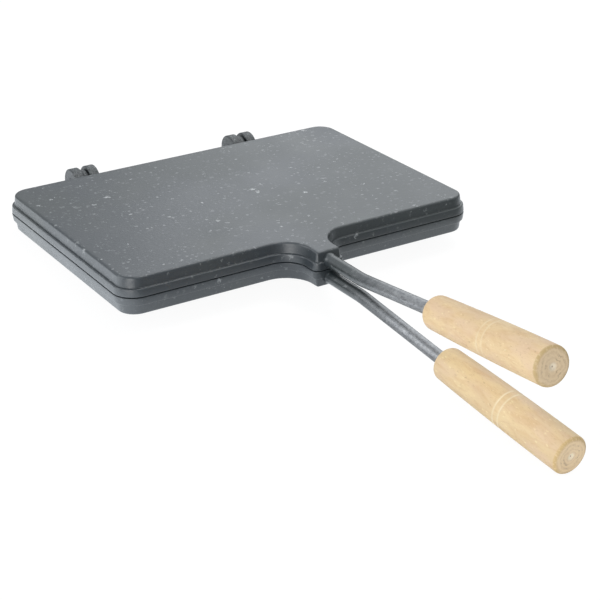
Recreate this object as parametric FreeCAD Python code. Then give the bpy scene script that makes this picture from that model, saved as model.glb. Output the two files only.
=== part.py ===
import FreeCAD, Part
import math
import os

# A pie iron: two cast aluminium trays that close face to face on a pair of hinges
# along the back long edge. Each tray ends in a neck at the front that holds a bent
# steel rod with a turned wooden grip. The two halves are the same casting with the
# same handle, one of them turned over about the Y axis, so one half is modelled here,
# above the parting plane, and placed twice.
# Millimetres. X runs along the long side, Y from the grips to the hinges, Z is up.
# The origin is in the middle of the flat underside of the closed trays.

V = FreeCAD.Vector
X_AXIS, Y_AXIS, Z_AXIS = V(1, 0, 0), V(0, 1, 0), V(0, 0, 1)

# Tray, outside
plate_length = 300.0
plate_width = 212.0
half_thickness = 14.4
corner_radius = 17.0
lip_height = 6.4
lip_draft = 0.7
ledge_width = 1.8
wall_draft = 1.0
face_edge_bevel = 1.2
parting_edge_break = 0.5

# Tray, inside
rim_width = 6.5
tray_depth = 10.4
tray_draft = 2.2
tray_corner_radius = 12.0
tray_floor_bevel = 2.6

# Neck that carries the rod
neck_width = 26.0
neck_reach = 31.0
neck_root_radius = 18.5
neck_end_radius = 5.0
neck_slope_run = 24.0
neck_slope_drop = 0.9
gentle_slope_angle = 15.0

# Rod, bent twice in one plane that leans sideways by the roll angle
rod_diameter = 9.3
rod_height = 6.4
rod_socket_depth = 24.0
rod_socket_clearance = 0.02
rod_bend_radius = 60.0
rod_straight_reach = 39.8
rod_sloping_reach = 88.1
rod_spread_angle = 8.6
grip_spread_angle = 6.75
handle_roll_angle = 19.0

# Turned grip
grip_length = 124.4
grip_setback = 5.0
grip_near_diameter = 23.5
grip_waist_diameter = 26.0
grip_far_diameter = 26.4
grip_waist_share = 0.5
grip_shoulder_bevel = 2.6
grip_end_bevel = 1.3
grip_bore_depth = 62.0
grip_bore_clearance = 0.02
dimple_diameter = 5.0
dimple_depth = 0.8

# Hinges, a fork on one half and a tongue on the other, the other way round at the
# second hinge
hinge_spacing = 147.6
hinge_setback = 19.4
lug_radius = 12.8
lug_width = 8.1
lug_edge_bevel = 0.7
fork_gap = 5.6
tongue_radius = 10.5
tongue_side_clearance = 0.4
web_height_share = 0.7
web_parting_clearance = 0.6
web_root_depth = 3.5
pin_diameter = 6.0
pin_running_clearance = 0.08
pin_press_clearance = 0.01
pin_head_diameter = 11.0
pin_head_height = 1.5

# Sizes that follow from the ones above
half_length = plate_length / 2
half_width = plate_width / 2
wall_inset = lip_draft + ledge_width
neck_end_y = -half_width - neck_reach
hinge_y = half_width + hinge_setback
rod_radius = rod_diameter / 2


def arc_edge(centre, radius, start_degrees, end_degrees, z):
    """Arc in a level plane about centre, from one angle to the other."""
    points = []
    for angle in (start_degrees, (start_degrees + end_degrees) / 2, end_degrees):
        a = math.radians(angle)
        points.append(V(centre[0] + radius * math.cos(a), centre[1] + radius * math.sin(a), z))
    return Part.Arc(*points).toShape()


def chained_wire(arcs):
    """Closed wire of the given arcs, joined one to the next by straight edges."""
    edges = []
    for arc, following in zip(arcs, arcs[1:] + arcs[:1]):
        edges.append(arc)
        end, start = arc.lastVertex(True).Point, following.firstVertex(True).Point
        edges.append(Part.makeLine(end, start))
    return Part.Wire(edges)


def plate_outline(inset, z):
    """Outline of the tray and its neck, drawn in by inset all round."""
    a, b = half_length - inset, half_width - inset
    r = corner_radius - inset
    w = neck_width / 2 - inset
    end_y, end_r = neck_end_y + inset, neck_end_radius - inset
    root = neck_root_radius + inset
    return chained_wire([
        arc_edge((w - end_r, end_y + end_r), end_r, -90, 0, z),
        arc_edge((w + root, -b - root), root, 180, 90, z),
        arc_edge((a - r, r - b), r, -90, 0, z),
        arc_edge((a - r, b - r), r, 0, 90, z),
        arc_edge((r - a, b - r), r, 90, 180, z),
        arc_edge((r - a, r - b), r, 180, 270, z),
        arc_edge((-w - root, -b - root), root, 90, 0, z),
        arc_edge((end_r - w, end_y + end_r), end_r, 180, 270, z),
    ])


def tray_outline(inset, z):
    """Outline of the hollow, a rounded rectangle drawn in by inset."""
    a, b = half_length - rim_width - inset, half_width - rim_width - inset
    r = tray_corner_radius - inset
    return chained_wire([
        arc_edge((a - r, b - r), r, 0, 90, z),
        arc_edge((r - a, b - r), r, 90, 180, z),
        arc_edge((r - a, r - b), r, 180, 270, z),
        arc_edge((a - r, r - b), r, 270, 360, z),
    ])


def upward_faces(shape):
    """Faces that look up, level or with a gentle slope."""
    steepest = math.cos(math.radians(gentle_slope_angle))
    return [f for f in shape.Faces if f.normalAt(0, 0).z > steepest]


def boundary_edges(faces):
    """Edges that belong to only one of the given faces."""
    edges = [edge for face in faces for edge in face.Edges]
    return [e for e in edges if sum(1 for other in edges if other.isSame(e)) == 1]


def neck_slope_cutter():
    """Wedge that lets the top of the neck fall gently towards its end."""
    start_y = neck_end_y + neck_slope_run
    overrun = neck_slope_run
    far_y = neck_end_y - overrun
    fall = neck_slope_drop * (neck_slope_run + overrun) / neck_slope_run
    corners = [
        V(-neck_width, start_y, half_thickness),
        V(-neck_width, far_y, half_thickness - fall),
        V(-neck_width, far_y, half_thickness + overrun),
        V(-neck_width, start_y, half_thickness + overrun),
    ]
    profile = Part.Face(Part.makePolygon(corners + corners[:1]))
    return profile.extrude(X_AXIS * (2 * neck_width))


def tray_shell():
    """Outer body of one tray: stepped lip, ledge, drafted wall and bevelled face."""
    lip = Part.makeLoft([
        plate_outline(parting_edge_break, 0),
        plate_outline(0, parting_edge_break),
        plate_outline(lip_draft, lip_height),
    ], True, True)
    wall = Part.makeLoft([
        plate_outline(wall_inset, lip_height),
        plate_outline(wall_inset + wall_draft, half_thickness),
    ], True, True)
    wall = wall.cut(neck_slope_cutter())
    wall = wall.makeChamfer(face_edge_bevel, boundary_edges(upward_faces(wall)))
    return lip.fuse(wall)


def tray_hollow():
    """The space for the food, with sloping sides and a bevelled floor edge."""
    hollow = Part.makeLoft([tray_outline(0, 0), tray_outline(tray_draft, tray_depth)], True, True)
    return hollow.makeChamfer(tray_floor_bevel, boundary_edges(upward_faces(hollow)))


def knuckle(x_low, width, radius, bore_radius):
    """One hinge lug round the pin axis with the web that ties it to the back wall."""
    disc = Part.makeCylinder(radius, width, V(x_low, hinge_y, 0), X_AXIS)
    rims = [e for e in disc.Edges if e.Closed and isinstance(e.Curve, Part.Circle)]
    disc = disc.makeChamfer(lug_edge_bevel, rims)
    web_top = radius * web_height_share
    web = Part.makeBox(width, hinge_setback + web_root_depth, web_top - web_parting_clearance,
                       V(x_low, half_width - web_root_depth, web_parting_clearance))
    bore = Part.makeCylinder(bore_radius, width, V(x_low, hinge_y, 0), X_AXIS)
    return disc.fuse(web), bore


def tray():
    """One casting: tray, neck, a fork at the left hinge and a tongue at the right."""
    pin_radius = pin_diameter / 2
    fork_x, tongue_x = -hinge_spacing / 2, hinge_spacing / 2
    tongue_width = fork_gap - 2 * tongue_side_clearance
    pressed, running = pin_radius + pin_press_clearance, pin_radius + pin_running_clearance
    knuckles = [
        knuckle(fork_x - fork_gap / 2 - lug_width, lug_width, lug_radius, pressed),
        knuckle(fork_x + fork_gap / 2, lug_width, lug_radius, pressed),
        knuckle(tongue_x - tongue_width / 2, tongue_width, tongue_radius, running),
    ]
    socket = Part.makeCylinder(rod_radius + rod_socket_clearance, rod_socket_depth,
                               V(0, neck_end_y, rod_height), Y_AXIS)
    body = tray_shell().cut(tray_hollow()).cut(socket)
    for lug, bore in knuckles:
        body = body.fuse(lug)
    for lug, bore in knuckles:
        body = body.cut(bore)
    return body.removeSplitter()


def handle_point(along, up):
    """Point in the handle's plane, along the handle from the neck's end and up."""
    return V(0, neck_end_y - along, rod_height + up)


def bend(apex, turn_from, turn_to):
    """Arc that leads from one slope to the next round a corner point."""
    turn = math.radians(turn_to - turn_from)
    reach = rod_bend_radius * math.tan(abs(turn) / 2)
    before, after = heading(turn_from), heading(turn_to)
    start, end = apex - before * reach, apex + after * reach
    outward = (before - after).normalize()
    middle = apex - outward * (rod_bend_radius / math.cos(turn / 2) - rod_bend_radius)
    return Part.Arc(start, middle, end).toShape()


def heading(degrees):
    """Unit direction of the handle where it slopes away by the given angle."""
    a = math.radians(degrees)
    return V(0, -math.cos(a), math.sin(a))


def handle_corners():
    """Corner points of the rod's path: both bends and the near face of the grip."""
    first = handle_point(rod_straight_reach, 0)
    second = first + heading(rod_spread_angle) * rod_sloping_reach
    grip_start = second + heading(grip_spread_angle) * grip_setback
    return first, second, grip_start


def rolled(shape):
    """The handle's plane leans sideways about the socket's axis."""
    return shape.rotate(handle_point(0, 0), Y_AXIS, -handle_roll_angle)


def rod():
    """Round rod from the bottom of its socket to the bottom of the grip's bore."""
    first, second, grip_start = handle_corners()
    bends = [bend(first, 0, rod_spread_angle), bend(second, rod_spread_angle, grip_spread_angle)]
    start = handle_point(-rod_socket_depth, 0)
    tip = grip_start + heading(grip_spread_angle) * grip_bore_depth
    path = Part.Wire([
        Part.makeLine(start, bends[0].firstVertex(True).Point),
        bends[0],
        Part.makeLine(bends[0].lastVertex(True).Point, bends[1].firstVertex(True).Point),
        bends[1],
        Part.makeLine(bends[1].lastVertex(True).Point, tip),
    ])
    section = Part.Wire([Part.makeCircle(rod_radius, start, Y_AXIS)])
    return rolled(path.makePipeShell([section], True, False))


def grip_swell():
    """The long curve of the grip as an arc: near shoulder, waist and far edge."""
    def at(along, diameter):
        return V(0, -along, diameter / 2)
    return Part.Arc(at(grip_shoulder_bevel, grip_near_diameter),
                    at(grip_length * grip_waist_share, grip_waist_diameter),
                    at(grip_length - grip_end_bevel, grip_far_diameter)).toShape()


def grip():
    """Turned grip: bevelled shoulder, swelling body, flat end with a centre mark."""
    swell = grip_swell()
    near, far = swell.firstVertex(True).Point, swell.lastVertex(True).Point
    near_face = V(0, 0, near.z - grip_shoulder_bevel)
    far_face = V(0, -grip_length, far.z - grip_end_bevel)
    near_centre, far_centre = V(0, 0, 0), V(0, -grip_length, 0)
    profile = Part.Face(Part.Wire([
        Part.makeLine(near_centre, near_face),
        Part.makeLine(near_face, near),
        swell,
        Part.makeLine(far, far_face),
        Part.makeLine(far_face, far_centre),
        Part.makeLine(far_centre, near_centre),
    ]))
    body = profile.revolve(near_centre, Y_AXIS, 360)
    body = body.cut(Part.makeCylinder(rod_radius + grip_bore_clearance, grip_bore_depth,
                                      near_centre, -Y_AXIS))
    body = body.cut(Part.makeCone(dimple_diameter / 2, 0, dimple_depth, far_centre, Y_AXIS))
    body.rotate(near_centre, X_AXIS, -grip_spread_angle)
    body.translate(handle_corners()[2])
    return rolled(body)


def hinge_pin(x):
    """Riveted pin with a flat round head against each outer lug face."""
    lug_span = fork_gap + 2 * lug_width
    start = x - lug_span / 2
    shank = Part.makeCylinder(pin_diameter / 2, lug_span, V(start, hinge_y, 0), X_AXIS)
    heads = [Part.makeCylinder(pin_head_diameter / 2, pin_head_height,
                               V(head_x, hinge_y, 0), X_AXIS)
             for head_x in (start - pin_head_height, start + lug_span)]
    return shank.fuse(heads).removeSplitter()


def as_upper(shape):
    """Place a shape of the modelled half above the parting plane."""
    upper = shape.copy()
    upper.translate(Z_AXIS * half_thickness)
    return upper


def as_lower(shape):
    """Turn a shape of the modelled half over to lie under the parting plane."""
    lower = shape.copy()
    lower.rotate(V(0, 0, 0), Y_AXIS, 180)
    lower.translate(Z_AXIS * half_thickness)
    return lower


def main():
    nodes = {}
    for name, shape in (("plate", tray()), ("rod", rod()), ("grip", grip())):
        nodes["upper_" + name] = as_upper(shape)
        nodes["lower_" + name] = as_lower(shape)
    nodes["left_hinge_pin"] = as_upper(hinge_pin(-hinge_spacing / 2))
    nodes["right_hinge_pin"] = as_upper(hinge_pin(hinge_spacing / 2))
    os.makedirs("parts", exist_ok=True)
    for name, shape in nodes.items():
        solid = shape.Solids[0]
        print(name, "solids", len(shape.Solids), "valid", shape.isValid(),
              "volume", round(solid.Volume))
        solid.exportStep("parts/" + name + ".step")


main()
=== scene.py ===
import math

import bpy
import numpy as np
from mathutils import Matrix, Vector


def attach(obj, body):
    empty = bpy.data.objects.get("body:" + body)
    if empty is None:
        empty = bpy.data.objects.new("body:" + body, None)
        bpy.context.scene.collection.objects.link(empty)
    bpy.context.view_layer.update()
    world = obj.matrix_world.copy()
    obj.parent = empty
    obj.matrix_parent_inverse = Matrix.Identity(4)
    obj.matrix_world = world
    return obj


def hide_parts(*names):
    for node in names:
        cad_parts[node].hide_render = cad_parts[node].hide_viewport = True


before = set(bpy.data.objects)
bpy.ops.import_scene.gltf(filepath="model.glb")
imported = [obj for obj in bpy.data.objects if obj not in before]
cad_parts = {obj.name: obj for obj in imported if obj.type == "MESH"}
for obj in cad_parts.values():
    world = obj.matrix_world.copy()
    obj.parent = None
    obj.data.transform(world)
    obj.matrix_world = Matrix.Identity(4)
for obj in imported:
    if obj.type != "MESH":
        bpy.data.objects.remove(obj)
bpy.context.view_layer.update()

# A pie iron: two coated cast trays hinged along the back, each with a bent rod and a
# turned wooden grip. One half is drawn above the parting plane and placed twice, the
# lower one turned over about the Y axis. Shapes are in millimetres until a mesh is made,
# and the lengths in materials are in metres.

MM = 0.001

# Tray
half_length, half_width, half_thickness = 150.0, 106.0, 14.4
corner_radius = 17.0
lip_height, lip_draft, ledge_width, wall_draft = 6.4, 0.7, 1.8, 1.0
parting_round, lip_round, ledge_round, face_round = 0.6, 1.0, 0.3, 1.8
parting_gap, seal_inset, seal_step, seal_round = 0.3, 3.6, 0.5, 0.2
face_inset = 7.0
rim_width, rim_overlap, tray_depth, tray_draft = 6.5, 1.6, 10.4, 2.2
hollow_corner_radius, hollow_edge_round, hollow_floor_round = 12.0, 0.5, 4.0
hollow_floor_inset = 9.0

# Neck
neck_half_width, neck_end_y, neck_inset = 13.0, -137.0, 3.0
neck_root_radius, neck_end_radius = 18.5, 5.0
slope_start_y, slope_run, slope_drop = -113.0, 24.0, 0.9

# Hinges
hinge_y, hinge_x = 125.4, 73.8
lug_radius, lug_width, lug_round, fork_gap = 12.8, 8.1, 1.0, 5.6
tongue_radius, tongue_width = 10.5, 4.8
web_share, web_clearance, web_root = 0.7, 0.6, 3.5
web_narrowing, web_round, web_corner, web_corner_fall = 0.3, 0.9, 1.2, 0.9
pin_radius, pin_head_radius, pin_head_height = 3.0, 5.5, 1.5

# Rod
rod_radius, rod_height = 4.65, 6.4
bend_radius, straight_reach, sloping_reach = 60.0, 39.8, 88.1
spread_angle, grip_angle, roll_angle = math.radians(8.6), math.radians(6.75), math.radians(19.0)
rod_in_neck, rod_in_grip = 6.0, 60.0
coat_thickness, coat_worn_at, coat_wear_run = 0.26, 60.0, 14.0
bead_thickness, bead_run = 0.5, 0.8

# Grip, with the outlines of its mouth round the rod and of the dimple in its end as
# distances from the face and radii
grip_length, grip_setback = 124.4, 5.0
grip_near_radius, grip_waist_radius, grip_far_radius = 11.75, 13.0, 13.2
near_round, end_round = 5.0, 2.6
groove_depth, groove_spread, groove_share, groove_offset = 0.16, 0.65, 0.54, 2.6
groove_zone = (62.0, 73.0)
mouth = np.array([(3.5, 0.0), (3.5, 4.8), (0.5, 4.95), (0.1, 5.3), (0.0, 5.8)])
dimple = np.array([(0.0, 9.0), (0.0, 3.2), (-0.15, 2.5), (-0.8, 0.4), (-0.8, 0.0)])

# Fineness of the meshes: points of an arc or a line, and columns round an axis
arc_points_each, round_points, web_round_points, dome_points = 14, 6, 6, 10
lug_round_points, shoulder_points, end_points = 7, 11, 10
line_points, body_points, groove_points = 220, 60, 90
lug_columns, pin_columns, rod_columns, grip_columns = 72, 48, 40, 80
least_radius, least_turned_radius = 0.05, 0.01


# Shapes

def quarter_turn(count):
    """Angles from zero to a right angle."""
    return np.linspace(0, math.pi / 2, count)


def full_turn(count):
    """Angles round the whole circle, without the last one, which is the first again."""
    return np.arange(count) * 2 * math.pi / count


def arc(centre, radius, start, end, count=arc_points_each):
    """Points centre + radius (cos a, sin a) for angles a from start to end in degrees."""
    a = np.radians(np.linspace(start, end, count))
    return np.stack([centre[0] + radius * np.cos(a), centre[1] + radius * np.sin(a)], axis=-1)


def corner_arcs(a, b, r, count=arc_points_each):
    """The two right-hand corners of a rounded rectangle of half sides a and b: quarter
    circles of radius r about (a - r, r - b) and (a - r, b - r)."""
    return [arc((a - r, r - b), r, -90, 0, count), arc((a - r, b - r), r, 0, 90, count)]


def mirrored(parts):
    """Closed outline from the parts of its right half, followed by the same points in
    reverse with x changed in sign."""
    right = np.concatenate(parts)
    return np.concatenate([right, right[::-1] * [-1, 1]])


def crease_angle():
    """Angle on the neck's root arc where the slope begins, at the top edge's inset."""
    top_inset = lip_draft + ledge_width + wall_draft + face_round
    drop = slope_start_y + half_width + neck_root_radius
    return math.degrees(math.asin(drop / (neck_root_radius + top_inset)))


def tray_edge(inset):
    """Closed outline of tray and neck drawn in by inset: ten arcs, each about its own
    centre with its radius less the inset, or plus it at the neck's hollow roots. Each root
    is two arcs that meet where the slope of the neck begins."""
    a, b, r = half_length - inset, half_width - inset, corner_radius - inset
    w, end = neck_half_width - inset, max(neck_end_radius - inset, least_radius)
    end_y, root, crease = neck_end_y + inset, neck_root_radius + inset, crease_angle()
    return mirrored([
        arc((w - end, end_y + end), end, -90, 0),
        arc((w + root, -b - root), root, 180, 180 - crease),
        arc((w + root, -b - root), root, 180 - crease, 90)[1:],
        *corner_arcs(a, b, r)])


def hollow_edge(inset):
    """Closed outline of the hollow drawn in by inset: four corner arcs, and the points
    that belong to the neck laid on the straight front edge."""
    a, b = half_length - rim_width - inset, half_width - rim_width - inset
    r = max(hollow_corner_radius - inset, least_radius)
    points_of_neck = 3 * arc_points_each - 1
    neck_x = tray_edge(neck_inset)[:points_of_neck, 0]
    front = np.stack([neck_x, np.full_like(neck_x, -b)], axis=-1)
    return mirrored([front, *corner_arcs(a, b, r)])


def rounded_path(corners, radii, count=round_points):
    """Polyline through corner points in which each corner with a radius is an arc that
    touches both of its runs."""
    path = [corners[0]]
    for before, corner, after, radius in zip(corners, corners[1:], corners[2:], radii):
        before, corner, after = (np.asarray(p, float) for p in (before, corner, after))
        u, v = before - corner, after - corner
        u, v = u / np.linalg.norm(u), v / np.linalg.norm(v)
        half = math.acos(np.clip(u @ v, -1, 1)) / 2
        reach = radius / math.tan(half)
        middle = u + v
        centre = corner + middle / np.linalg.norm(middle) * radius / math.sin(half)
        start, end = corner + u * reach - centre, corner + v * reach - centre
        t, swing = np.linspace(0, 1, count)[:, None], math.pi - 2 * half
        turn = (np.sin((1 - t) * swing) * start + np.sin(t * swing) * end) / math.sin(swing)
        path.extend(centre + turn)
    path.append(corners[-1])
    return np.array([np.asarray(p, float) for p in path])


def ring_faces(rows, columns):
    """Quads between neighbouring rows of a grid whose last column meets its first."""
    i = np.arange(rows - 1)[:, None] * columns
    j = np.arange(columns)[None, :]
    k = (j + 1) % columns
    quads = np.stack([i + j, i + k, i + columns + k, i + columns + j], axis=-1)
    return quads.reshape(-1, 4)


def signed_volume(points, faces):
    """Sum over face fans of the triple product of their corners, over six."""
    total = 0.0
    for quads in faces:
        for k in range(1, quads.shape[1] - 1):
            a, b, c = points[quads[:, 0]], points[quads[:, k]], points[quads[:, k + 1]]
            total += float(np.einsum("ij,ij->i", a, np.cross(b, c)).sum())
    return total / 6


def closed_grid(rings):
    """Closed surface from a stack of rings: quads between rings, and a flat face over
    the first ring and over the last. Faces are turned to point outwards."""
    rows, columns = rings.shape[:2]
    points = rings.reshape(-1, 3)
    quads = ring_faces(rows, columns)
    first = np.arange(columns)[::-1][None, :]
    last = (rows - 1) * columns + np.arange(columns)[None, :]
    if signed_volume(points, (quads, first, last)) < 0:
        quads, first, last = quads[:, ::-1], first[:, ::-1], last[:, ::-1]
    return points, [quads, first, last]


def joined(*surfaces):
    """Several closed surfaces as one list of points and faces."""
    points, faces, offset = [], [], 0
    for some_points, some_faces in surfaces:
        points.append(some_points)
        faces.extend(part + offset for part in some_faces)
        offset += len(some_points)
    return np.concatenate(points), faces


def slope_fall(y, z):
    """How far the slope of the neck lowers a point: in proportion to its distance past
    the slope's start, and to its height above the lip."""
    along = np.clip((slope_start_y - y) / slope_run, 0, None)
    lift = np.clip((z - lip_height) / (half_thickness - lip_height), 0, 1)
    return slope_drop * along * lift


def tray_surface():
    """Skin of one tray: rings from the floor of the hollow up its wall, across the rim,
    over the stepped outer wall and onto the outer face. Also gives how squarely each point
    faced the coating's spray: one on the broad faces, falling to zero on the walls."""
    wall_foot = lip_draft + ledge_width
    inside = rounded_path(
        [(hollow_floor_inset, tray_depth), (tray_draft, tray_depth), (0.0, 0.0),
         (-rim_overlap, 0.0)],
        [hollow_floor_round, hollow_edge_round])
    outside = rounded_path(
        [(seal_inset, 0.0), (seal_inset - seal_step, parting_gap), (0.0, parting_gap),
         (lip_draft, lip_height), (wall_foot, lip_height),
         (wall_foot + wall_draft, half_thickness), (face_inset, half_thickness)],
        [seal_round, parting_round, lip_round, ledge_round, face_round])
    rings, sprayed = [], []
    for edge, path, face, edge_round in (
            (hollow_edge, inside, tray_depth, hollow_floor_round),
            (tray_edge, outside, half_thickness, face_round)):
        for inset, height in path:
            flat = edge(inset)
            rings.append(np.column_stack([flat, height - slope_fall(flat[:, 1], height)]))
            squarely = np.clip((height - face + edge_round) / edge_round, 0, 1)
            sprayed.append(np.full(len(flat), squarely))
    return np.array(rings), np.concatenate(sprayed)


def turned(profile, columns):
    """Surface of revolution about the X axis: each profile point (x, r) becomes the ring
    x, r cos a, r sin a for angles a round the circle."""
    a = full_turn(columns)
    x, r = np.asarray(profile, float).T
    r = np.maximum(r, least_turned_radius)
    ring = np.stack([np.cos(a), np.sin(a)], axis=-1)
    around = r[:, None, None] * ring[None, :, :]
    along = np.broadcast_to(x[:, None, None], around.shape[:2] + (1,))
    return np.concatenate([along, around], axis=-1)


def lug_surface(x_low, width, radius):
    """One hinge lug: a disc with rounded rims, and the block that ties it to the tray, a
    little narrower than the disc so that their sides stay apart."""
    corners = [(0, 0), (0, radius), (width, radius), (width, 0)]
    disc = turned(rounded_path(corners, [lug_round] * 2, lug_round_points), lug_columns)
    y_low, z_low, z_high = half_width - web_root, web_clearance, radius * web_share
    middle = np.array([x_low + width / 2, (y_low + hinge_y) / 2, (z_low + z_high) / 2])
    size = np.array([width - web_narrowing, hinge_y - y_low, z_high - z_low]) / 2
    return closed_grid(disc + [x_low, hinge_y, 0]), closed_grid(block_rings(size) + middle)


def block_rings(size):
    """Rounded block of half sizes size: rounded rectangles in X and Y stacked along Z,
    drawn in by round (1 - sin a) and lowered by round (1 - cos a) at both ends."""
    a = quarter_turn(web_round_points)
    inset = web_round * (1 - np.sin(a))
    height = size[2] - web_round * (1 - np.cos(a))
    inset = np.concatenate([inset, inset[::-1]])
    height = np.concatenate([-height, height[::-1]])
    rings = []
    for drawn_in, z in zip(inset, height):
        r = web_round * web_corner - drawn_in * web_corner_fall
        flat = mirrored(corner_arcs(size[0] - drawn_in, size[1] - drawn_in, r, web_round_points))
        rings.append(np.column_stack([flat, np.full(len(flat), z)]))
    return np.array(rings)


def pin_surface(x_middle):
    """Riveted pin: a low dome, the shank and a second dome, turned about its axis."""
    half = fork_gap / 2 + lug_width
    a = quarter_turn(dome_points)
    dome = np.stack([-half - pin_head_height * np.cos(a), pin_head_radius * np.sin(a)], axis=-1)
    left = np.concatenate([dome, [[-half, pin_radius]]])
    profile = np.concatenate([left, left[::-1] * [-1, 1]])
    return closed_grid(turned(profile, pin_columns) + [x_middle, hinge_y, 0])


def handle_line():
    """Centre line of the rod in the handle's plane: arc length s, distance out from the
    neck's end, height and slope. The slope turns at a steady rate within each bend."""
    reach = bend_radius * math.tan(spread_angle / 2)
    second_reach = bend_radius * math.tan((spread_angle - grip_angle) / 2)
    first_start = straight_reach - reach
    first_end = first_start + bend_radius * spread_angle
    second_start = first_end + sloping_reach - reach - second_reach
    second_end = second_start + bend_radius * (spread_angle - grip_angle)
    tip = second_end + grip_setback - second_reach + rod_in_grip
    s = np.linspace(-rod_in_neck, tip, line_points)
    slope = np.interp(s, [first_start, first_end, second_start, second_end],
                      [0, spread_angle, spread_angle, grip_angle])
    step = np.diff(s, prepend=s[0])
    middle_slope = np.concatenate([slope[:1], (slope[1:] + slope[:-1]) / 2])
    out = s[0] + np.cumsum(np.cos(middle_slope) * step)
    up = np.cumsum(np.sin(middle_slope) * step)
    return s, out, up, slope


def rolled(points):
    """Turn points about the socket's axis by the handle's sideways lean."""
    c, k = math.cos(roll_angle), math.sin(roll_angle)
    x, y, z = points[..., 0], points[..., 1], points[..., 2] - rod_height
    return np.stack([c * x - k * z, y, k * x + c * z + rod_height], axis=-1)


def rod_surface():
    """Tube about the handle's line: each ring stands square to the line. Its radius grows
    by a coat that ends in an S curve, and by a bead that dies away beside the neck. Also
    gives each point's place along the line."""
    s, out, up, slope = handle_line()
    a = full_turn(rod_columns)
    coat = coat_thickness / (1 + np.exp((s - coat_worn_at) / coat_wear_run))
    bead = bead_thickness * np.exp(-np.clip(s, 0, None) / bead_run)
    radius = (rod_radius + coat + bead)[:, None]
    side, lift = radius * np.cos(a)[None, :], radius * np.sin(a)[None, :]
    y = neck_end_y - out[:, None] + lift * np.sin(slope)[:, None]
    z = rod_height + up[:, None] + lift * np.cos(slope)[:, None]
    return rolled(np.stack([side, y, z], axis=-1)), np.repeat(s, len(a))


def grip_profile():
    """Half section of the grip (distance from the near face, radius): a mouth round the
    rod, a round shoulder, a swelling arc with two turned grooves, and the end."""
    swell = np.polyfit([0.0, grip_length / 2, grip_length],
                       [grip_near_radius, grip_waist_radius, grip_far_radius], 2)
    body_end = grip_length - end_round
    s = np.unique(np.concatenate([np.linspace(near_round, body_end, body_points),
                                  np.linspace(*groove_zone, groove_points)]))
    body = np.stack([s, np.polyval(swell, s) - groove_depth * groove_mask(s)], axis=-1)
    near, far = np.polyval(swell, near_round), np.polyval(swell, body_end)
    a = quarter_turn(shoulder_points)[:-1]
    shoulder = near_round * np.stack([1 - np.cos(a), np.sin(a) - 1], axis=-1) + [0, near]
    a = quarter_turn(end_points)[1:]
    end = end_round * np.stack([np.sin(a) - 1, np.cos(a) - 1], axis=-1) + [grip_length, far]
    return np.concatenate([mouth, shoulder, body, end, dimple + [grip_length, 0]])


def groove_mask(s):
    """One at the middle of either groove, falling off as a bell to zero beside it."""
    centres = grip_length * groove_share + np.array([-groove_offset, groove_offset])
    return np.exp(-((s[..., None] - centres) / groove_spread) ** 2).sum(axis=-1)


def grip_surface():
    """The grip's half section turned about its axis, then set on the rod's last run.
    Also gives each point's place in the grip's own frame, for the wood's figure."""
    local = turned(grip_profile(), grip_columns)
    s, out, up, _ = handle_line()
    near = s[-1] - rod_in_grip
    near_out, near_up = np.interp(near, s, out), np.interp(near, s, up)
    along, side, lift = local[..., 0], local[..., 1], local[..., 2]
    c, k = math.cos(grip_angle), math.sin(grip_angle)
    y = neck_end_y - (near_out + along * c) + lift * k
    z = rod_height + near_up + along * k + lift * c
    return rolled(np.stack([side, y, z], axis=-1)), local


# Meshes

def upper(points):
    """Lift a shape of the modelled half to lie above the parting plane."""
    return points + [0, 0, half_thickness]


def lower(points):
    """Turn a shape of the modelled half over about the Y axis."""
    return points * [-1, 1, -1] + [0, 0, half_thickness]


def make_piece(name, surface, place, material, attributes=()):
    """Mesh object from points in millimetres and lists of faces, smooth, at the origin."""
    points, faces = surface
    mesh = bpy.data.meshes.new(name)
    polygons = [face for part in faces for face in part.tolist()]
    mesh.from_pydata((place(points) * MM).tolist(), [], polygons)
    mesh.update()
    mesh.polygons.foreach_set("use_smooth", np.ones(len(polygons), bool))
    for label, kind, values in attributes:
        layer = mesh.attributes.new(label, kind, "POINT")
        field = "value" if kind == "FLOAT" else "vector"
        layer.data.foreach_set(field, np.ascontiguousarray(values, dtype=np.float32).ravel())
    mesh.materials.append(material)
    piece = bpy.data.objects.new(name, mesh)
    bpy.context.scene.collection.objects.link(piece)
    return piece


# Material tools

def add_node(tree, kind, values=None, **settings):
    """New node with its settings made and its inputs, by name or number, set to numbers
    and colours or linked to sockets."""
    node = tree.nodes.new(kind)
    for key, value in settings.items():
        setattr(node, key, value)
    for key, value in (values or {}).items():
        set_input(tree, node.inputs[key], value)
    return node


def set_input(tree, socket, value):
    """Link another socket to this one, or set its number, vector or colour."""
    if isinstance(value, bpy.types.NodeSocket):
        tree.links.new(value, socket)
    elif socket.type == "RGBA":
        socket.default_value = (*value, 1)
    else:
        socket.default_value = value


def math_node(tree, operation, a, b=0.0, clamp=False):
    return add_node(tree, "ShaderNodeMath", {0: a, 1: b}, operation=operation,
                    use_clamp=clamp).outputs[0]


def product(tree, a, b):
    return math_node(tree, "MULTIPLY", a, b)


def weighted_sum(tree, *parts):
    """Sum of values, each times its weight."""
    total = 0.0
    for value, weight in parts:
        total = math_node(tree, "ADD", total, product(tree, value, weight))
    return total


def vector_node(tree, operation, values):
    return add_node(tree, "ShaderNodeVectorMath", values, operation=operation)


def ramp_between(tree, value, low, high, to_low=0.0, to_high=1.0):
    """Smooth step of a value from low to high, scaled to run from to_low to to_high."""
    return add_node(tree, "ShaderNodeMapRange", {0: value, 1: low, 2: high, 3: to_low, 4: to_high},
                    interpolation_type="SMOOTHSTEP", clamp=True).outputs[0]


def mix_value(tree, factor, a, b):
    return add_node(tree, "ShaderNodeMix", {0: factor, 2: a, 3: b}, data_type="FLOAT").outputs[0]


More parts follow.
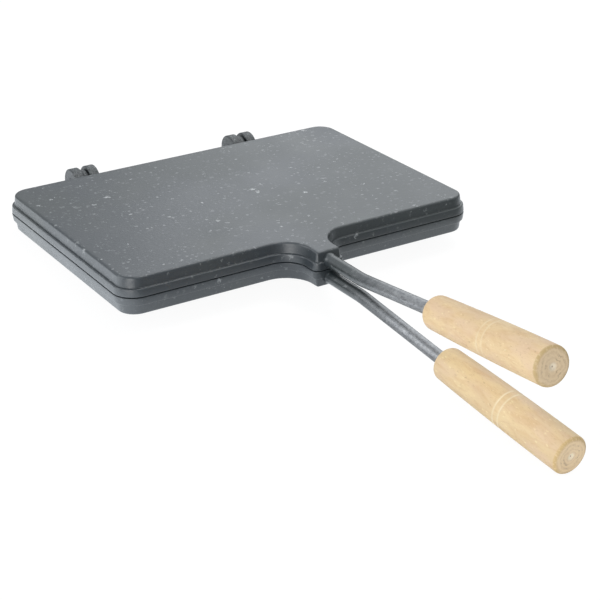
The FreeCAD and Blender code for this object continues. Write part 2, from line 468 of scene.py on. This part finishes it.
def mix_colour(tree, factor, a, b, blend="MIX"):
    return add_node(tree, "ShaderNodeMix", {0: factor, 6: a, 7: b}, data_type="RGBA",
                    blend_type=blend).outputs[2]


def scaled_colour(tree, colour, tone):
    """Colour times a grey tone."""
    return vector_node(tree, "SCALE", {0: colour, "Scale": tone}).outputs[0]


def tinted(tree, colour, value, low, high, amount, tint):
    """Colour mixed with a tint, by nothing where a value is low and by amount where high."""
    return mix_colour(tree, ramp_between(tree, value, low, high, 0.0, amount), colour, tint)


def noise_node(tree, place, scale, detail=2.0, roughness=0.5, distortion=0.0):
    return add_node(tree, "ShaderNodeTexNoise", {
        "Vector": place, "Scale": scale, "Detail": detail, "Roughness": roughness,
        "Distortion": distortion})


def noise(tree, place, *shape):
    return noise_node(tree, place, *shape).outputs["Fac"]


def stretched(tree, place, scale, shift=(0, 0, 0)):
    """Coordinates stretched by scale along each axis and then moved by shift."""
    return add_node(tree, "ShaderNodeMapping", {
        "Vector": place, "Location": shift, "Scale": scale}).outputs[0]


def grain(tree, place, scale, *shape, shift=(0, 0, 0)):
    """Noise with a scale of its own along each axis, in features to the metre."""
    return noise(tree, stretched(tree, place, scale, shift), 1.0, *shape)


def attribute(tree, name, output="Fac"):
    return add_node(tree, "ShaderNodeAttribute", attribute_name=name).outputs[output]


def new_group(name, inputs, outputs):
    """Shader node group that takes a place and numbers with their first values, and gives
    numbers; returns the tree and its two end nodes."""
    tree = bpy.data.node_groups.new(name, "ShaderNodeTree")
    tree.interface.new_socket("Place", in_out="INPUT", socket_type="NodeSocketVector")
    for label, value in inputs.items():
        socket = tree.interface.new_socket(label, in_out="INPUT", socket_type="NodeSocketFloat")
        socket.default_value = value
    for label in outputs:
        tree.interface.new_socket(label, in_out="OUTPUT", socket_type="NodeSocketFloat")
    return tree, tree.nodes.new("NodeGroupInput"), tree.nodes.new("NodeGroupOutput")


def place_group(tree, group, place, values):
    return add_node(tree, "ShaderNodeGroup", {"Place": place, **values}, node_tree=group).outputs


def flecks_group():
    """Scattered flecks: cells of a Voronoi pattern on warped coordinates, of which a
    share carries a fleck. A fleck's radius and brightness differ from cell to cell."""
    tree, given, result = new_group(
        "flecks", {"Cell size": 0.005, "Share": 0.3, "Radius": 0.16, "Warp": 0.3},
        ["Mask", "Tone"])
    warps_to_cell, least_size, size_range, solid_part = 3.5, 0.4, 0.9, 0.55
    given = given.outputs
    scale = math_node(tree, "DIVIDE", 1.0, given["Cell size"])
    bent = noise_node(tree, given["Place"], product(tree, scale, warps_to_cell), 2.0, 0.6)
    centred = vector_node(tree, "SUBTRACT", {0: bent.outputs["Color"], 1: (0.5, 0.5, 0.5)})
    moved = vector_node(tree, "SCALE", {
        0: centred.outputs[0], "Scale": product(tree, given["Warp"], given["Cell size"])})
    place = vector_node(tree, "ADD", {0: given["Place"], 1: moved.outputs[0]})
    cells = add_node(tree, "ShaderNodeTexVoronoi", {
        "Vector": place.outputs[0], "Scale": scale, "Randomness": 1.0}, feature="F1")
    lot = add_node(tree, "ShaderNodeSeparateColor", {0: cells.outputs["Color"]}).outputs
    chosen = math_node(tree, "LESS_THAN", lot[0], given["Share"])
    size = product(tree, given["Radius"],
                   weighted_sum(tree, (lot[1], size_range), (least_size, 1.0)))
    inside = ramp_between(tree, cells.outputs["Distance"], size, product(tree, size, solid_part))
    set_input(tree, result.inputs["Mask"], product(tree, inside, chosen))
    set_input(tree, result.inputs["Tone"], lot[2])
    return tree


def grain_group():
    """Fine mottling: the sum of a broad cloud and a fine grain about one, for colour,
    and the fine grain and the cloud by themselves for height and roughness."""
    tree, given, result = new_group(
        "mottling", {"Broad scale": 12.0, "Fine scale": 900.0, "Broad amount": 0.15,
                     "Fine amount": 0.15}, ["Tone", "Height", "Cloud"])
    given = given.outputs
    broad = noise(tree, given["Place"], given["Broad scale"], 3.0, 0.5)
    fine = noise(tree, given["Place"], given["Fine scale"], 3.0, 0.6)
    tone = weighted_sum(tree, (math_node(tree, "SUBTRACT", broad, 0.5), given["Broad amount"]),
                        (math_node(tree, "SUBTRACT", fine, 0.5), given["Fine amount"]), (1.0, 1.0))
    set_input(tree, result.inputs["Tone"], tone)
    set_input(tree, result.inputs["Height"], fine)
    set_input(tree, result.inputs["Cloud"], broad)
    return tree


def new_material(name):
    material = bpy.data.materials.new(name)
    material.use_nodes = True
    return material, material.node_tree


def finish_material(material, colour, roughness, height, bump, numbers):
    """Wire colour, roughness and height into the material's own shader, with bump as the
    height's depth in metres, and set or link its other numbers."""
    tree = material.node_tree
    raised = add_node(tree, "ShaderNodeBump", {"Height": height, "Distance": bump, "Strength": 1.0})
    values = {"Base Color": colour, "Roughness": roughness, "Normal": raised.outputs[0]}
    for key, value in {**values, **numbers}.items():
        set_input(tree, tree.nodes["Principled BSDF"].inputs[key], value)
    return material


def object_place(tree):
    return add_node(tree, "ShaderNodeTexCoord").outputs["Object"]


# Coating and steel

flecks = flecks_group()
mottling = grain_group()

# Pale flecks of the coating, from large to fine: cell size, share of the cells that carry
# one, radius in cells, and the faintest and strongest cover
FLECK_LAYERS = ((0.0070, 0.58, 0.270, 0.10, 0.95),
                (0.0044, 0.75, 0.270, 0.06, 0.60),
                (0.0024, 0.50, 0.270, 0.02, 0.24))
FLECK_WARP, FLECK_COLOUR, COVER_OF_WALLS = 1.1, (0.52, 0.54, 0.54), 0.40
COATING_MOTTLING = {"Broad scale": 14.0, "Fine scale": 1100.0, "Broad amount": 0.30,
                    "Fine amount": 0.9}
COATING_BLUE, COATING_GREEN = (0.021, 0.028, 0.034), (0.025, 0.032, 0.032)
# Painted shade in the pits of the lugs and paler crests: noise at which they begin and are full,
# amount and colour
PIT_SHADE_AND_PALE_CRESTS = ((0.60, 0.38, 0.9, (0.004, 0.006, 0.006)),
                   (0.50, 0.66, 0.7, (0.13, 0.14, 0.135)))
SATIN = {"Specular IOR Level": 0.9}


def coating_colours(tree, place):
    """Colour, roughness and height of the stone-effect coating at a place. The flecks
    gather in patches and are fainter on walls. The hinge lugs are rough as cast, with painted shade
    in their pits and paler crests."""
    ground = place_group(tree, mottling, place, COATING_MOTTLING)
    hue = ramp_between(tree, noise(tree, place, 11.0), 0.38, 0.62)
    colour = scaled_colour(tree, mix_colour(tree, hue, COATING_BLUE, COATING_GREEN),
                           ground["Tone"])
    sprayed = attribute(tree, "sprayed")
    rough_cast = ramp_between(tree, sprayed, -0.1, -0.9)
    pits = noise(tree, place, 620.0, 2.0, 0.6, 1.2)
    # Painted shade darkens the lugs' pits to near black, and their crests are made paler
    for low, high, amount, tint in PIT_SHADE_AND_PALE_CRESTS:
        shown = product(tree, rough_cast, ramp_between(tree, pits, low, high, 0.0, amount))
        colour = mix_colour(tree, shown, colour, tint)
    cover = product(tree, ramp_between(tree, sprayed, 0.0, 1.0, COVER_OF_WALLS, 1.0),
                    ramp_between(tree, noise(tree, place, 32.0), 0.38, 0.58, 0.45, 1.0))
    raised = 0.0
    for cell, share, radius, faint, strong in FLECK_LAYERS:
        layer = place_group(tree, flecks, place, {
            "Cell size": cell, "Share": share, "Radius": radius, "Warp": FLECK_WARP})
        strength = product(tree, layer["Mask"],
                           ramp_between(tree, layer["Tone"], 0.0, 1.0, faint, strong))
        strength = product(tree, strength, cover)
        colour = mix_colour(tree, strength, colour, FLECK_COLOUR)
        raised = math_node(tree, "ADD", raised, strength)
    peel = noise(tree, place, 420.0, 2.0, 0.5)
    height = weighted_sum(tree, (peel, 0.6), (ground["Height"], 0.6), (raised, 0.4),
                          (product(tree, rough_cast, pits), 2.4))
    gloss = ramp_between(tree, ground["Cloud"], 0.3, 0.7, 0.33, 0.40)
    return colour, weighted_sum(tree, (gloss, 1.0), (rough_cast, 0.07)), height


def stone_coating():
    """Dark grey non-stick coating with pale flecks."""
    material, tree = new_material("stone_coating")
    colour, gloss, height = coating_colours(tree, object_place(tree))
    return finish_material(material, colour, gloss, height, 0.00017, SATIN)


def coated_rod():
    """Coated steel near the neck that wears into bare, brushed steel towards the grip.
    The distance along the rod is in millimetres."""
    worn_from, worn_to, raggedness = 20.0, 105.0, 60.0
    material, tree = new_material("coated_rod")
    place = object_place(tree)
    coat, gloss, height = coating_colours(tree, place)
    patches = math_node(tree, "SUBTRACT", noise(tree, place, 160.0, 4.0, 0.6), 0.5)
    along = weighted_sum(tree, (attribute(tree, "along"), 1.0), (patches, raggedness))
    bare = ramp_between(tree, along, worn_from, worn_to)
    marks = grain(tree, place, (400, 210, 400), 4.0, 0.7)
    worn = grain(tree, place, (260, 140, 260), 4.0, 0.7, shift=(3, 2, 5))
    spots = noise(tree, place, 560.0, 4.0, 0.7)
    steel = mix_colour(tree, ramp_between(tree, marks, 0.35, 0.65),
                       (0.24, 0.245, 0.255), (0.33, 0.335, 0.34))
    steel = tinted(tree, steel, worn, 0.50, 0.66, 0.5, (0.46, 0.465, 0.47))
    steel = tinted(tree, steel, spots, 0.48, 0.64, 0.5, (0.09, 0.095, 0.10))
    roughness = mix_value(tree, bare, math_node(tree, "SUBTRACT", gloss, 0.06),
                          ramp_between(tree, marks, 0.3, 0.7, 0.28, 0.40))
    return finish_material(material, mix_colour(tree, bare, coat, steel), roughness,
                           weighted_sum(tree, (height, 1.0), (marks, 0.4)), 0.00012,
                           {"Metallic": product(tree, bare, 0.5), **SATIN})


def pin_steel():
    """Darkened steel of the rivets, with fine turning marks and worn high spots."""
    material, tree = new_material("pin_steel")
    ground = place_group(tree, mottling, object_place(tree), {
        "Broad scale": 250.0, "Fine scale": 2200.0, "Broad amount": 0.7, "Fine amount": 0.5})
    colour = scaled_colour(tree, (0.16, 0.165, 0.17), ground["Tone"])
    roughness = ramp_between(tree, ground["Cloud"], 0.3, 0.7, 0.35, 0.55)
    return finish_material(material, colour, roughness, ground["Height"], 0.00008,
                           {"Metallic": 0.8})


# Wood

# Painted light on the lower grip: its side and end are made paler and yellower than the upper
# one's, standing in for the light that falls on it
PAINTED_LIGHT_OF_SIDE, PAINTED_LIGHT_OF_END = (1.01, 1.05, 1.06), (1.17, 1.16, 1.14)
PALE_FIBRES = (0.95, 0.84, 0.62)


def wood_side(tree, figure):
    """Colour of the grip's side: warm clouds, long streaks, fine fibres, short brown rays
    and pale pores, all drawn out along the grip. Also the fibres and the streaks."""
    cloud = grain(tree, figure, (24, 60, 60), 2.0, 0.5)
    blush = grain(tree, figure, (34, 75, 75), 2.0, 0.5, shift=(3, 1, 2))
    streak = grain(tree, figure, (50, 170, 170), 4.0, 0.6, 0.6)
    fibre = grain(tree, figure, (300, 900, 900), 3.0, 0.65)
    knots = grain(tree, figure, (45, 75, 75), 2.0, 0.5, shift=(7, 5, 1))
    colour = mix_colour(tree, ramp_between(tree, cloud, 0.35, 0.65),
                        (0.76, 0.55, 0.32), (0.83, 0.62, 0.35))
    colour = tinted(tree, colour, blush, 0.46, 0.66, 0.50, (0.77, 0.55, 0.39))
    colour = tinted(tree, colour, streak, 0.42, 0.72, 0.55, (0.68, 0.44, 0.23))
    colour = tinted(tree, colour, fibre, 0.50, 0.78, 0.50, (0.60, 0.40, 0.21))
    drawn_out = stretched(tree, figure, (0.45, 1, 1))
    gathered = ramp_between(tree, knots, 0.52, 0.66, 0.16, 0.70)
    for cell, radius, amount, tint in ((0.0021, 0.23, gathered, (0.44, 0.27, 0.15)),
                                       (0.0020, 0.27, 0.45, (0.95, 0.80, 0.50))):
        marks = place_group(tree, flecks, drawn_out, {
            "Cell size": cell, "Share": 0.6, "Radius": radius, "Warp": 1.0})
        colour = mix_colour(tree, product(tree, marks["Mask"], amount), colour, tint)
    return colour, fibre, streak


def wood_end(tree, figure, parts):
    """Colour of the grip's end: ochre rim, tan middle with uneven growth rings that are
    dark in places, and the pale turning centre with its dark point. Radii are in metres."""
    ring_wave, ring_wobble, rim_wobble = 2100.0, 0.0085, 0.003
    across = add_node(tree, "ShaderNodeCombineXYZ", {1: parts[1], 2: parts[2]})
    radius = vector_node(tree, "LENGTH", {0: across.outputs[0]}).outputs["Value"]
    wobble = grain(tree, figure, (0, 150, 150), 4.0, 0.65)
    pores = grain(tree, figure, (0, 700, 700), 3.0, 0.6)
    late = grain(tree, figure, (0, 230, 230), 3.0, 0.7)
    uneven = weighted_sum(tree, (radius, 1.0), (wobble, ring_wobble))
    rings = math_node(tree, "SINE", product(tree, uneven, ring_wave))
    colour = mix_colour(tree, ramp_between(tree, rings, -1.0, 1.0, 0.08, 0.46),
                        (0.82, 0.63, 0.40), (0.65, 0.46, 0.26))
    near_rim = weighted_sum(tree, (radius, 1.0), (wobble, rim_wobble))
    colour = tinted(tree, colour, near_rim, 0.0118, 0.0140, 1.0, (0.59, 0.42, 0.20))
    colour = tinted(tree, colour, pores, 0.45, 0.70, 0.50, (0.86, 0.68, 0.44))
    dark = product(tree, ramp_between(tree, late, 0.49, 0.60),
                   ramp_between(tree, rings, -0.1, 0.9))
    dark = product(tree, dark, ramp_between(tree, radius, 0.0105, 0.0070, 0.0, 0.45))
    colour = mix_colour(tree, dark, colour, (0.38, 0.25, 0.15))
    colour = tinted(tree, colour, radius, 0.0038, 0.0012, 0.62, (0.96, 0.86, 0.68))
    return tinted(tree, colour, radius, 0.0008, 0.0003, 0.75, (0.33, 0.22, 0.14))


def turned_wood():
    """Close-grained pale wood of the grips, with paler cut fibres in the turned grooves, and
    painted light that makes the lower grip paler.
    """
    end_grain_from, end_grain_full = grip_length - end_round, grip_length - 1.4
    material, tree = new_material("turned_wood")
    place = attribute(tree, "grip_place", "Vector")
    figure = attribute(tree, "figure_place", "Vector")
    lower_grip_painted_light = attribute(tree, "painted_light_share")
    parts = add_node(tree, "ShaderNodeSeparateXYZ", {0: place}).outputs
    side, fibre, streak = wood_side(tree, figure)
    # Painted light: the lower grip's side and end are multiplied paler and yellower, standing in
    # for light
    side = mix_colour(tree, lower_grip_painted_light, side, PAINTED_LIGHT_OF_SIDE, "MULTIPLY")
    end = mix_colour(tree, lower_grip_painted_light, wood_end(tree, figure, parts), PAINTED_LIGHT_OF_END, "MULTIPLY")
    cut = ramp_between(tree, parts[0], end_grain_from * MM, end_grain_full * MM)
    colour = mix_colour(tree, cut, side, end)
    worn = ramp_between(tree, noise(tree, figure, 70.0), 0.38, 0.58, 0.45, 0.85)
    groove = math_node(tree, "MULTIPLY", attribute(tree, "groove"), worn, clamp=True)
    colour = mix_colour(tree, groove, colour, PALE_FIBRES)
    return finish_material(material, colour, ramp_between(tree, streak, 0.3, 0.7, 0.48, 0.6),
                           weighted_sum(tree, (fibre, 0.6), (streak, 0.4)), 0.00010,
                           {"Specular IOR Level": 0.45})


coating, rod_finish, pin_finish, wood = stone_coating(), coated_rod(), pin_steel(), turned_wood()


# Pieces

# How each half's grip differs: shift of the wood's figure, how much it is painted lighter to stand
# in for light, and how clearly its grooves show
GRIP_DIFFERENCES = {"upper": ([0, 0, 0], 0.0, 0.45), "lower": ([310, 57, 23], 1.0, 1.0)}
# Value that stands in the attribute "sprayed" for the lugs
ROUGH_AS_CAST = -1.0


def build_half(half, place, fork_pin_x):
    """All the pieces of one half: tray, lugs, rod, grip and pin, riding on its body."""
    body = half + "_half"
    rings, sprayed = tray_surface()
    lugs = []
    for x_low, width, radius in (
            (-hinge_x - fork_gap / 2 - lug_width, lug_width, lug_radius),
            (-hinge_x + fork_gap / 2, lug_width, lug_radius),
            (hinge_x - tongue_width / 2, tongue_width, tongue_radius)):
        lugs.extend(lug_surface(x_low, width, radius))
    points, faces = joined(closed_grid(rings), *lugs)
    of_lugs = np.full(len(points) - len(sprayed), ROUGH_AS_CAST)
    tray = make_piece(half + "_tray", (points, faces), place, coating,
                      [("sprayed", "FLOAT", np.concatenate([sprayed, of_lugs]))])
    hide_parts(half + "_plate")

    rings, along = rod_surface()
    rod = make_piece(half + "_bent_rod", closed_grid(rings), place, rod_finish,
                     [("along", "FLOAT", along)])
    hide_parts(half + "_rod")

    rings, local = grip_surface()
    local = local.reshape(-1, 3)
    # The second value says how far the grip is painted lighter, standing in for light
    shift, pale, clearness = GRIP_DIFFERENCES[half]
    grip = make_piece(half + "_turned_grip", closed_grid(rings), place, wood, [
        ("grip_place", "FLOAT_VECTOR", local * MM),
        ("figure_place", "FLOAT_VECTOR", (local + shift) * MM),
        ("groove", "FLOAT", groove_mask(local[:, 0]) * clearness),
        ("painted_light_share", "FLOAT", np.full(len(local), pale))])
    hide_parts(half + "_grip")

    side = "left" if half == "upper" else "right"
    pin = make_piece(side + "_rivet", pin_surface(fork_pin_x), upper, pin_finish)
    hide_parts(side + "_hinge_pin")
    for piece in (tray, rod, grip, pin):
        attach(piece, body)


build_half("upper", upper, -hinge_x)
build_half("lower", lower, hinge_x)


# Floor, light and camera

WINDOW_BLUE, LAMP_BLUE = (0.90, 0.95, 1.0), (0.94, 0.97, 1.0)
SHEET_GREY, SHEET_GLOW, SHEET_BOUNCE = (0.13, 0.13, 0.13), 0.93, (0.88, 0.91, 0.97)
EVEN_LIGHT = 0.47
SEEN = ("Is Camera Ray", "Is Glossy Ray", "Is Transmission Ray")


def floor_surface():
    """Floor on which the closed iron rests on its back edge and on the end of its lower
    grip: a plane through both, which drops in an S curve to a level behind the hinges."""
    rest_inset, clearance = 1.0, 0.5
    drop_start, drop_run, plane_end = 118, 130, 300
    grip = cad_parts["lower_grip"].data
    points = np.empty(len(grip.vertices) * 3)
    grip.vertices.foreach_get("co", points)
    y, z = points.reshape(-1, 3)[:, 1] / MM, points.reshape(-1, 3)[:, 2] / MM
    rest_y = half_width - lip_draft - ledge_width - wall_draft - rest_inset
    slope = float(np.max(-z / (rest_y - y)))
    level = float(z.min()) - clearance
    xs = np.linspace(-3000, 3000, 25)
    ys = np.concatenate([np.linspace(-3500, 100, 40), np.linspace(110, plane_end, 40),
                         np.linspace(400, 4000, 12)])
    t = np.clip((ys - drop_start) / drop_run, 0, 1)
    drop = t * t * (3 - 2 * t)
    heights = slope * (np.minimum(ys, plane_end) - rest_y) * (1 - drop) + level * drop
    grid = np.stack(np.broadcast_arrays(xs[None, :], ys[:, None], heights[:, None]), axis=-1)
    rows, columns = grid.shape[:2]
    i = np.arange(rows - 1)[:, None] * columns + np.arange(columns - 1)[None, :]
    quads = np.stack([i, i + 1, i + columns + 1, i + columns], axis=-1).reshape(-1, 4)
    return grid.reshape(-1, 3), [quads]


def ray_kind(tree, *kinds):
    """One where a ray is of any of the kinds named, zero for the light's other bounces."""
    path = add_node(tree, "ShaderNodeLightPath")
    total = path.outputs[kinds[0]]
    for kind in kinds[1:]:
        total = math_node(tree, "MAXIMUM", total, path.outputs[kind])
    return total


def shader(tree, kind, values):
    return add_node(tree, kind, values).outputs[0]


def pale_glow(tree, kind, plain, reflected_strength):
    """White glow of plain strength, but blue as a window and of another strength in what
    glossy surfaces reflect."""
    reflected = ray_kind(tree, "Is Glossy Ray")
    return shader(tree, kind, {
        "Strength": mix_value(tree, reflected, plain, reflected_strength),
        "Color": mix_colour(tree, reflected, (1, 1, 1), WINDOW_BLUE)})


def pale_floor():
    """White sheet that shows soft shadows. In what the satin coating reflects of it, it glows
    with painted light: a painted bright glow at the left, painted shade a little at the right
    and more in front, and much dimmer far away."""
    material, tree = new_material("pale_floor")
    tree.nodes.remove(tree.nodes["Principled BSDF"])
    floor_place = object_place(tree)
    place = add_node(tree, "ShaderNodeSeparateXYZ", {0: floor_place}).outputs
    distance = vector_node(tree, "LENGTH", {0: floor_place}).outputs["Value"]
    # Painted light seen only in reflections: a bright glow at the left, and painted shade at the
    # right and in front
    left = ramp_between(tree, place[0], -0.10, -0.19, 0.0, 1.04)
    front = ramp_between(tree, place[1], -0.12, -0.19, 0.16, -0.5)
    right = product(tree, ramp_between(tree, place[0], 0.03, 0.07),
                    ramp_between(tree, place[1], -0.135, -0.160, 0.0, -0.20))
    far = ramp_between(tree, distance, 0.35, 0.70, 1.0, 0.3)
    painted_glow = weighted_sum(tree, (1.0, 1.0), (left, 1.0), (right, 1.0), (front, 1.0))
    sheet = shader(tree, "ShaderNodeBsdfDiffuse", {"Color": SHEET_GREY})
    glow = pale_glow(tree, "ShaderNodeEmission", SHEET_GLOW, product(tree, painted_glow, far))
    both = shader(tree, "ShaderNodeAddShader", {0: sheet, 1: glow})
    bounce = shader(tree, "ShaderNodeBsdfDiffuse", {"Color": SHEET_BOUNCE})
    choice = shader(tree, "ShaderNodeMixShader", {0: ray_kind(tree, *SEEN), 1: bounce, 2: both})
    set_input(tree, tree.nodes["Material Output"].inputs[0], choice)
    return material


floor = make_piece("floor_sheet", floor_surface(), lambda points: points, pale_floor())

# Square lamps: name, direction from the object, distance, size, power and colour
LAMPS = (("back_lamp", (0.62, 0.59, 0.52), 2.0, 1.7, 9.0, LAMP_BLUE),
         ("left_lamp", (-0.9, 0.4, 0.35), 2.0, 1.5, 12, LAMP_BLUE),
         ("side_lamp", (-0.8, -0.6, 0.12), 2.0, 1.3, 19, (1, 1, 1)),
         ("top_lamp", (0.28, 0.0, 0.95), 1.6, 0.45, 5, (1, 1, 1)))
LAMPS_LOOK_AT = (0, -0.1, 0.02)


def soft_lamp(name, towards, distance, size, power, colour):
    """Square area lamp that looks at the object from the direction given."""
    light = bpy.data.lights.new(name, "AREA")
    light.shape, light.size, light.energy, light.color = "SQUARE", size, power, colour
    lamp = bpy.data.objects.new(name, light)
    bpy.context.scene.collection.objects.link(lamp)
    direction = Vector(towards).normalized()
    lamp.location = Vector(LAMPS_LOOK_AT) + direction * distance
    lamp.rotation_euler = direction.to_track_quat("Z", "Y").to_euler()


for lamp in LAMPS:
    soft_lamp(*lamp)


def pale_room():
    """World that is plain white to look at and gives an even pale light. Satin surfaces
    see it dimmer near the horizon, as the walls of a room round a lit table are."""
    world = bpy.data.worlds.new("pale_room")
    bpy.context.scene.world = world
    world.use_nodes = True
    tree = world.node_tree
    even = tree.nodes["Background"]
    set_input(tree, even.inputs["Color"], LAMP_BLUE)
    set_input(tree, even.inputs["Strength"], EVEN_LIGHT)
    generated = add_node(tree, "ShaderNodeTexCoord").outputs["Generated"]
    direction = add_node(tree, "ShaderNodeSeparateXYZ", {0: generated}).outputs
    walls_and_ceiling = ramp_between(tree, direction[2], 0.10, 0.42, 0.30, 0.95)
    clear = pale_glow(tree, "ShaderNodeBackground", 1.0, walls_and_ceiling)
    choice = shader(tree, "ShaderNodeMixShader", {
        0: ray_kind(tree, *SEEN), 1: even.outputs[0], 2: clear})
    set_input(tree, tree.nodes["World Output"].inputs[0], choice)


pale_room()
bpy.context.scene.view_settings.view_transform = "Standard"

# Camera of the photograph: its angles in degrees, its place in millimetres, and its focal
# length and shift in pixels of a picture of this width
CAMERA_AZIMUTH, CAMERA_ELEVATION, CAMERA_ROLL = 31.22, 24.85, -1.01
CAMERA_PLACE = (-573.30, -1039.69, 485.07)
FOCAL_PIXELS, SHIFT_PIXELS, PICTURE_PIXELS = 1627.82, (-0.5, 0.5), 600


def place_camera():
    """Camera where the photograph was taken from, found from the trays' straight edges."""
    azimuth, elevation, roll = (
        math.radians(angle) for angle in (CAMERA_AZIMUTH, CAMERA_ELEVATION, CAMERA_ROLL))
    forward = np.array([math.sin(azimuth) * math.cos(elevation),
                        math.cos(azimuth) * math.cos(elevation), -math.sin(elevation)])
    level = np.array([math.cos(azimuth), -math.sin(azimuth), 0.0])
    upward = np.cross(level, forward)
    right = math.cos(roll) * level + math.sin(roll) * upward
    up = -math.sin(roll) * level + math.cos(roll) * upward
    data = bpy.data.cameras.new("photo_camera")
    data.lens = FOCAL_PIXELS * data.sensor_width / PICTURE_PIXELS
    data.shift_x, data.shift_y = (shift / PICTURE_PIXELS for shift in SHIFT_PIXELS)
    camera = bpy.data.objects.new("photo_camera", data)
    bpy.context.scene.collection.objects.link(camera)
    turn = np.stack([right, up, -forward], axis=-1)
    camera.matrix_world = (Matrix.Translation(Vector(CAMERA_PLACE) * MM)
                           @ Matrix(turn.tolist()).to_4x4())
    bpy.context.scene.camera = camera


place_camera()
